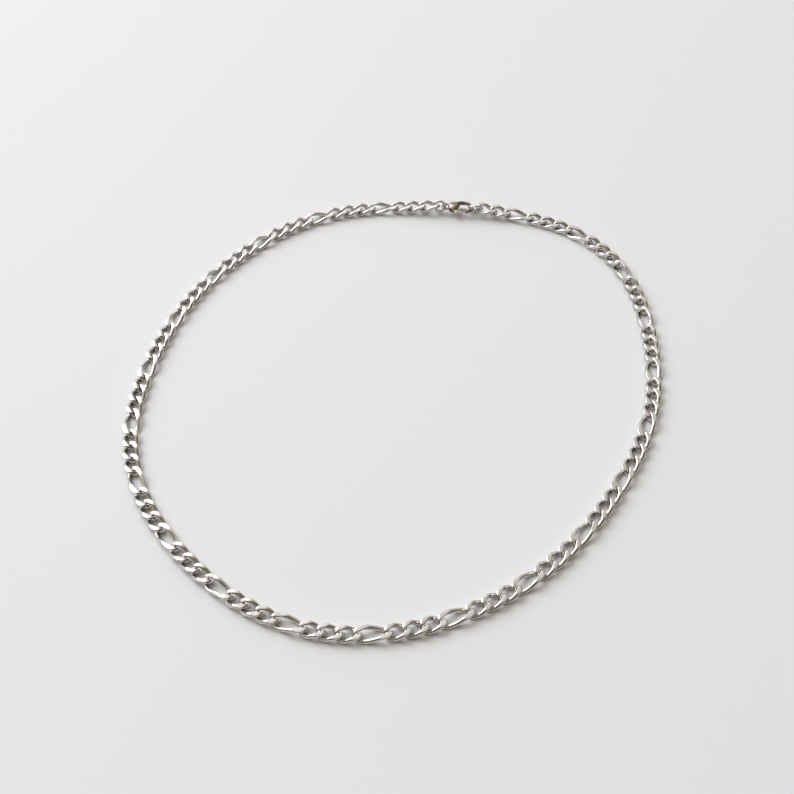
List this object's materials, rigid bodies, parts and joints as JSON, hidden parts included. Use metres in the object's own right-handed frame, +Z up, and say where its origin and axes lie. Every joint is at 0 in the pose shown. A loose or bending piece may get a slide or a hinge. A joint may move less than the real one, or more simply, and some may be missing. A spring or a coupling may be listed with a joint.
{
  "type": "chain necklace",
  "caption": "Closed flat chain necklace of ground twisted links, several short then one long, joined by a lobster claw clasp with a sprung trigger.",
  "frame": {"origin": "middle of the necklace's footprint, on the surface it lies on", "axes": "+Z up from the surface; the clasp is at the +Y side of the loop and its hook points towards +X; -Y is the front of the loop"},
  "size_m": [0.1412, 0.1502, 0.0042],
  "materials": {
    "link_steel": "polished, ground flats",
    "ring_steel": "polished wire",
    "clasp_steel": "polished casting",
    "trigger_steel": "polished plate",
    "pin_steel": "polished pin",
    "spring_steel": "drawn wire"
  },
  "bodies": {
    "clasp": {"clasp_body": "clasp_steel", "clasp_pin": "pin_steel", "clasp_spring": "spring_steel"},
    "trigger": {"clasp_trigger": "trigger_steel"},
    "tail_ring": {"tail_ring": "ring_steel"},
    "tail_links": {"tail_links": "link_steel"},
    "long_link_22": {"long_link_22": "link_steel"},
    "short_links_21": {"short_links_21": "link_steel"},
    "long_link_21": {"long_link_21": "link_steel"},
    "short_links_20": {"short_links_20": "link_steel"},
    "long_link_20": {"long_link_20": "link_steel"},
    "short_links_19": {"short_links_19": "link_steel"},
    "long_link_19": {"long_link_19": "link_steel"},
    "short_links_18": {"short_links_18": "link_steel"},
    "long_link_18": {"long_link_18": "link_steel"},
    "short_links_17": {"short_links_17": "link_steel"},
    "long_link_17": {"long_link_17": "link_steel"},
    "short_links_16": {"short_links_16": "link_steel"},
    "long_link_16": {"long_link_16": "link_steel"},
    "short_links_15": {"short_links_15": "link_steel"},
    "long_link_15": {"long_link_15": "link_steel"},
    "short_links_14": {"short_links_14": "link_steel"},
    "long_link_14": {"long_link_14": "link_steel"},
    "short_links_13": {"short_links_13": "link_steel"},
    "long_link_13": {"long_link_13": "link_steel"},
    "short_links_12": {"short_links_12": "link_steel"},
    "long_link_12": {"long_link_12": "link_steel"},
    "short_links_11": {"short_links_11": "link_steel"},
    "long_link_11": {"long_link_11": "link_steel"},
    "short_links_10": {"short_links_10": "link_steel"},
    "long_link_10": {"long_link_10": "link_steel"},
    "short_links_09": {"short_links_09": "link_steel"},
    "long_link_09": {"long_link_09": "link_steel"},
    "short_links_08": {"short_links_08": "link_steel"},
    "long_link_08": {"long_link_08": "link_steel"},
    "short_links_07": {"short_links_07": "link_steel"},
    "long_link_07": {"long_link_07": "link_steel"},
    "short_links_06": {"short_links_06": "link_steel"},
    "long_link_06": {"long_link_06": "link_steel"},
    "short_links_05": {"short_links_05": "link_steel"},
    "long_link_05": {"long_link_05": "link_steel"},
    "short_links_04": {"short_links_04": "link_steel"},
    "long_link_04": {"long_link_04": "link_steel"},
    "short_links_03": {"short_links_03": "link_steel"},
    "long_link_03": {"long_link_03": "link_steel"},
    "short_links_02": {"short_links_02": "link_steel"},
    "long_link_02": {"long_link_02": "link_steel"},
    "short_links_01": {"short_links_01": "link_steel"},
    "long_link_01": {"long_link_01": "link_steel"},
    "end_links": {"end_links": "link_steel"},
    "end_ring": {"end_ring": "ring_steel"}
  },
  "joints": [
    {"name": "tail_side_bend", "type": "hinge", "parent": "clasp", "child": "tail_ring", "pos_m": [0.01368, 0.07232, 0.00217], "axis": [-0.9958, 0.091, 0], "range_deg": [0, 0.6667]},
    {"name": "tail_side_bend_02", "type": "hinge", "parent": "tail_ring", "child": "tail_links", "pos_m": [0.01144, 0.07252, 0.00217], "axis": [-0.9958, 0.091, 0], "range_deg": [0, 0.6667]},
    {"name": "tail_side_bend_03", "type": "hinge", "parent": "tail_links", "child": "long_link_22", "pos_m": [-0.00096, 0.07297, 0.00118], "axis": [-0.9972, 0.0612, -0.0433], "range_deg": [0, 0.6667]},
    {"name": "tail_side_bend_04", "type": "hinge", "parent": "long_link_22", "child": "short_links_21", "pos_m": [-0.0079, 0.07261, 0.00102], "axis": [-0.9986, 0.0348, -0.0387], "range_deg": [0, 0.6667]},
    {"name": "tail_side_bend_05", "type": "hinge", "parent": "short_links_21", "child": "long_link_21", "pos_m": [-0.02005, 0.07002, 0.00102], "axis": [-0.9989, -0.0373, -0.0275], "range_deg": [0, 0.6667]},
    {"name": "tail_side_bend_06", "type": "hinge", "parent": "long_link_21", "child": "short_links_20", "pos_m": [-0.02645, 0.06732, 0.00102], "axis": [-0.9958, -0.0881, -0.0238], "range_deg": [0, 0.6667]},
    {"name": "tail_side_bend_07", "type": "hinge", "parent": "short_links_20", "child": "long_link_20", "pos_m": [-0.03686, 0.06052, 0.00102], "axis": [-0.9825, -0.1855, -0.0193], "range_deg": [0, 0.6667]},
    {"name": "tail_side_bend_08", "type": "hinge", "parent": "long_link_20", "child": "short_links_19", "pos_m": [-0.04204, 0.05589, 0.00102], "axis": [-0.9709, -0.2389, -0.0175], "range_deg": [0, 0.6667]},
    {"name": "tail_side_bend_09", "type": "hinge", "parent": "short_links_19", "child": "long_link_19", "pos_m": [-0.05027, 0.04656, 0.00102], "axis": [-0.9445, -0.3281, -0.0151], "range_deg": [0, 0.6667]},
    {"name": "left_side_bend", "type": "hinge", "parent": "long_link_19", "child": "short_links_18", "pos_m": [-0.05426, 0.04087, 0.00102], "axis": [0.927, 0.3747, 0.014], "range_deg": [-0.9, 0]},
    {"name": "left_side_bend_02", "type": "hinge", "parent": "short_links_18", "child": "long_link_18", "pos_m": [-0.06011, 0.02989, 0.00102], "axis": [0.891, 0.4539, 0.0125], "range_deg": [-0.9, 0]},
    {"name": "left_side_bend_03", "type": "hinge", "parent": "long_link_18", "child": "short_links_17", "pos_m": [-0.06263, 0.02342, 0.00102], "axis": [0.8684, 0.4958, 0.0118], "range_deg": [-0.9, 0]},
    {"name": "left_side_bend_04", "type": "hinge", "parent": "short_links_17", "child": "long_link_17", "pos_m": [-0.066, 0.01144, 0.00102], "axis": [0.8247, 0.5654, 0.0108], "range_deg": [-0.9, 0]},
    {"name": "left_side_bend_05", "type": "hinge", "parent": "long_link_17", "child": "short_links_16", "pos_m": [-0.06731, 0.00461, 0.00102], "axis": [0.7992, 0.601, 0.0103], "range_deg": [-0.9, 0]},
    {"name": "left_side_bend_06", "type": "hinge", "parent": "short_links_16", "child": "long_link_16", "pos_m": [-0.06847, -0.00778, 0.00102], "axis": [0.7508, 0.6605, 0.0096], "range_deg": [-0.9, 0]},
    {"name": "left_side_bend_07", "type": "hinge", "parent": "long_link_16", "child": "short_links_15", "pos_m": [-0.06822, -0.01472, 0.00102], "axis": [0.7216, 0.6923, 0.0092], "range_deg": [-0.9, 0]},
    {"name": "left_side_bend_08", "type": "hinge", "parent": "short_links_15", "child": "long_link_15", "pos_m": [-0.06578, -0.02691, 0.00102], "axis": [0.6642, 0.7475, 0.0087], "range_deg": [-0.9, 0]},
    {"name": "left_side_bend_09", "type": "hinge", "parent": "long_link_15", "child": "short_links_14", "pos_m": [-0.06327, -0.03339, 0.00102], "axis": [0.6293, 0.7771, 0.0085], "range_deg": [-0.9, 0]},
    {"name": "left_side_bend_10", "type": "hinge", "parent": "short_links_14", "child": "long_link_14", "pos_m": [-0.05704, -0.04415, 0.00102], "axis": [0.5627, 0.8266, 0.0082], "range_deg": [-0.9, 0]},
    {"name": "front_bend", "type": "hinge", "parent": "long_link_14", "child": "short_links_13", "pos_m": [-0.05282, -0.04967, 0.00102], "axis": [-0.5237, -0.8518, -0.0081], "range_deg": [0, 1]},
    {"name": "front_bend_02", "type": "hinge", "parent": "short_links_13", "child": "long_link_13", "pos_m": [-0.04417, -0.05861, 0.00102], "axis": [-0.4516, -0.8922, -0.0079], "range_deg": [0, 1]},
    {"name": "front_bend_03", "type": "hinge", "parent": "long_link_13", "child": "short_links_12", "pos_m": [-0.03876, -0.06297, 0.00102], "axis": [-0.41, -0.912, -0.0078], "range_deg": [0, 1]},
    {"name": "front_bend_04", "type": "hinge", "parent": "short_links_12", "child": "long_link_12", "pos_m": [-0.02798, -0.06915, 0.00102], "axis": [-0.333, -0.9429, -0.0077], "range_deg": [0, 1]},
    {"name": "front_bend_05", "type": "hinge", "parent": "long_link_12", "child": "short_links_11", "pos_m": [-0.02141, -0.07143, 0.00102], "axis": [-0.2888, -0.9574, -0.0077], "range_deg": [0, 1]},
    {"name": "front_bend_06", "type": "hinge", "parent": "short_links_11", "child": "long_link_11", "pos_m": [-0.0091, -0.07304, 0.00102], "axis": [-0.2085, -0.978, -0.0078], "range_deg": [0, 1]},
    {"name": "front_bend_07", "type": "hinge", "parent": "long_link_11", "child": "short_links_10", "pos_m": [-0.00216, -0.07257, 0.00102], "axis": [-0.1635, -0.9865, -0.0079], "range_deg": [0, 1]},
    {"name": "front_bend_08", "type": "hinge", "parent": "short_links_10", "child": "long_link_10", "pos_m": [0.00991, -0.06962, 0.00102], "axis": [-0.0834, -0.9965, -0.0081], "range_deg": [0, 1]},
    {"name": "front_bend_09", "type": "hinge", "parent": "long_link_10", "child": "short_links_09", "pos_m": [0.01636, -0.06701, 0.00102], "axis": [-0.0388, -0.9992, -0.0083], "range_deg": [0, 1]},
    {"name": "right_side_bend", "type": "hinge", "parent": "short_links_09", "child": "long_link_09", "pos_m": [0.0272, -0.06092, 0.00102], "axis": [-0.0412, 0.9991, 0.0087], "range_deg": [-0.9, 0]},
    {"name": "right_side_bend_02", "type": "hinge", "parent": "long_link_09", "child": "short_links_08", "pos_m": [0.03279, -0.05679, 0.00102], "axis": [-0.0858, 0.9963, 0.0089], "range_deg": [-0.9, 0]},
    {"name": "right_side_bend_03", "type": "hinge", "parent": "short_links_08", "child": "long_link_08", "pos_m": [0.04181, -0.04822, 0.00102], "axis": [-0.1653, 0.9862, 0.0095], "range_deg": [-0.9, 0]},
    {"name": "right_side_bend_04", "type": "hinge", "parent": "long_link_08", "child": "short_links_07", "pos_m": [0.04627, -0.0429, 0.00102], "axis": [-0.2096, 0.9777, 0.0098], "range_deg": [-0.9, 0]},
    {"name": "right_side_bend_05", "type": "hinge", "parent": "short_links_07", "child": "long_link_07", "pos_m": [0.05341, -0.0327, 0.00102], "axis": [-0.2907, 0.9568, 0.0106], "range_deg": [-0.9, 0]},
    {"name": "right_side_bend_06", "type": "hinge", "parent": "long_link_07", "child": "short_links_06", "pos_m": [0.05698, -0.02674, 0.00102], "axis": [-0.3375, 0.9413, 0.011], "range_deg": [-0.9, 0]},
    {"name": "right_side_bend_07", "type": "hinge", "parent": "short_links_06", "child": "long_link_06", "pos_m": [0.06243, -0.01555, 0.00102], "axis": [-0.4232, 0.906, 0.012], "range_deg": [-0.9, 0]},
    {"name": "right_side_bend_08", "type": "hinge", "parent": "long_link_06", "child": "short_links_05", "pos_m": [0.06475, -0.009, 0.00102], "axis": [-0.4709, 0.8821, 0.0126], "range_deg": [-0.9, 0]},
    {"name": "right_side_bend_09", "type": "hinge", "parent": "short_links_05", "child": "long_link_05", "pos_m": [0.06738, 0.00315, 0.00102], "axis": [-0.5549, 0.8318, 0.014], "range_deg": [-0.9, 0]},
    {"name": "right_side_bend_10", "type": "hinge", "parent": "long_link_05", "child": "short_links_04", "pos_m": [0.06811, 0.01007, 0.00102], "axis": [-0.6019, 0.7984, 0.0149], "range_deg": [-0.9, 0]},
    {"name": "end_side_bend", "type": "hinge", "parent": "short_links_04", "child": "long_link_04", "pos_m": [0.06835, 0.02251, 0.00102], "axis": [0.6886, -0.7249, -0.017], "range_deg": [0, 0.5556]},
    {"name": "end_side_bend_02", "type": "hinge", "parent": "long_link_04", "child": "short_links_03", "pos_m": [0.06788, 0.02944, 0.00102], "axis": [0.7384, -0.6742, -0.0184], "range_deg": [0, 0.5556]},
    {"name": "end_side_bend_03", "type": "hinge", "parent": "short_links_03", "child": "long_link_03", "pos_m": [0.06549, 0.04164, 0.00102], "axis": [0.8251, -0.5645, -0.0217], "range_deg": [0, 0.5556]},
    {"name": "end_side_bend_04", "type": "hinge", "parent": "long_link_03", "child": "short_links_02", "pos_m": [0.06297, 0.04812, 0.00102], "axis": [0.8689, -0.4943, -0.0242], "range_deg": [0, 0.5556]},
    {"name": "end_side_bend_05", "type": "hinge", "parent": "short_links_02", "child": "long_link_02", "pos_m": [0.05588, 0.0583, 0.00102], "axis": [0.9316, -0.3623, -0.0314], "range_deg": [0, 0.5556]},
    {"name": "end_side_bend_06", "type": "hinge", "parent": "long_link_02", "child": "short_links_01", "pos_m": [0.05057, 0.06277, 0.00102], "axis": [0.9557, -0.2919, -0.0381], "range_deg": [0, 0.5556]},
    {"name": "end_side_bend_07", "type": "hinge", "parent": "short_links_01", "child": "long_link_01", "pos_m": [0.03941, 0.06822, 0.00108], "axis": [0.9806, -0.1865, -0.0602], "range_deg": [0, 0.5556]},
    {"name": "end_side_bend_08", "type": "hinge", "parent": "long_link_01", "child": "end_links", "pos_m": [0.0327, 0.07, 0.00141], "axis": [0.9875, -0.1422, -0.0681], "range_deg": [0, 0.5556]},
    {"name": "end_side_bend_09", "type": "hinge", "parent": "end_links", "child": "end_ring", "pos_m": [0.02455, 0.07132, 0.00217], "axis": [-0.9958, 0.091, 0], "range_deg": [0, 0.5556]},
    {"name": "trigger_pivot", "type": "hinge", "parent": "clasp", "child": "trigger", "pos_m": [0.0166, 0.07135, 0.00217], "axis": [0, 0, 1], "range_deg": [0, 28], "stiffness_Nm_per_rad": 0.0006, "springref_deg": -14.32, "deforming": ["clasp_spring"]}
  ],
  "couplings": [
    {"joint": "tail_side_bend_02", "follows": "tail_side_bend", "ratio": 1},
    {"joint": "tail_side_bend_03", "follows": "tail_side_bend", "ratio": 1},
    {"joint": "tail_side_bend_04", "follows": "tail_side_bend", "ratio": 1},
    {"joint": "tail_side_bend_05", "follows": "tail_side_bend", "ratio": 1},
    {"joint": "tail_side_bend_06", "follows": "tail_side_bend", "ratio": 1},
    {"joint": "tail_side_bend_07", "follows": "tail_side_bend", "ratio": 1},
    {"joint": "tail_side_bend_08", "follows": "tail_side_bend", "ratio": 1},
    {"joint": "tail_side_bend_09", "follows": "tail_side_bend", "ratio": 1},
    {"joint": "left_side_bend_02", "follows": "left_side_bend", "ratio": 1},
    {"joint": "left_side_bend_03", "follows": "left_side_bend", "ratio": 1},
    {"joint": "left_side_bend_04", "follows": "left_side_bend", "ratio": 1},
    {"joint": "left_side_bend_05", "follows": "left_side_bend", "ratio": 1},
    {"joint": "left_side_bend_06", "follows": "left_side_bend", "ratio": 1},
    {"joint": "left_side_bend_07", "follows": "left_side_bend", "ratio": 1},
    {"joint": "left_side_bend_08", "follows": "left_side_bend", "ratio": 1},
    {"joint": "left_side_bend_09", "follows": "left_side_bend", "ratio": 1},
    {"joint": "left_side_bend_10", "follows": "left_side_bend", "ratio": 1},
    {"joint": "front_bend_02", "follows": "front_bend", "ratio": 1},
    {"joint": "front_bend_03", "follows": "front_bend", "ratio": 1},
    {"joint": "front_bend_04", "follows": "front_bend", "ratio": 1},
    {"joint": "front_bend_05", "follows": "front_bend", "ratio": 1},
    {"joint": "front_bend_06", "follows": "front_bend", "ratio": 1},
    {"joint": "front_bend_07", "follows": "front_bend", "ratio": 1},
    {"joint": "front_bend_08", "follows": "front_bend", "ratio": 1},
    {"joint": "front_bend_09", "follows": "front_bend", "ratio": 1},
    {"joint": "right_side_bend_02", "follows": "right_side_bend", "ratio": 1},
    {"joint": "right_side_bend_03", "follows": "right_side_bend", "ratio": 1},
    {"joint": "right_side_bend_04", "follows": "right_side_bend", "ratio": 1},
    {"joint": "right_side_bend_05", "follows": "right_side_bend", "ratio": 1},
    {"joint": "right_side_bend_06", "follows": "right_side_bend", "ratio": 1},
    {"joint": "right_side_bend_07", "follows": "right_side_bend", "ratio": 1},
    {"joint": "right_side_bend_08", "follows": "right_side_bend", "ratio": 1},
    {"joint": "right_side_bend_09", "follows": "right_side_bend", "ratio": 1},
    {"joint": "right_side_bend_10", "follows": "right_side_bend", "ratio": 1},
    {"joint": "end_side_bend_02", "follows": "end_side_bend", "ratio": 1},
    {"joint": "end_side_bend_03", "follows": "end_side_bend", "ratio": 1},
    {"joint": "end_side_bend_04", "follows": "end_side_bend", "ratio": 1},
    {"joint": "end_side_bend_05", "follows": "end_side_bend", "ratio": 1},
    {"joint": "end_side_bend_06", "follows": "end_side_bend", "ratio": 1},
    {"joint": "end_side_bend_07", "follows": "end_side_bend", "ratio": 1},
    {"joint": "end_side_bend_08", "follows": "end_side_bend", "ratio": 1},
    {"joint": "end_side_bend_09", "follows": "end_side_bend", "ratio": 1}
  ]
}
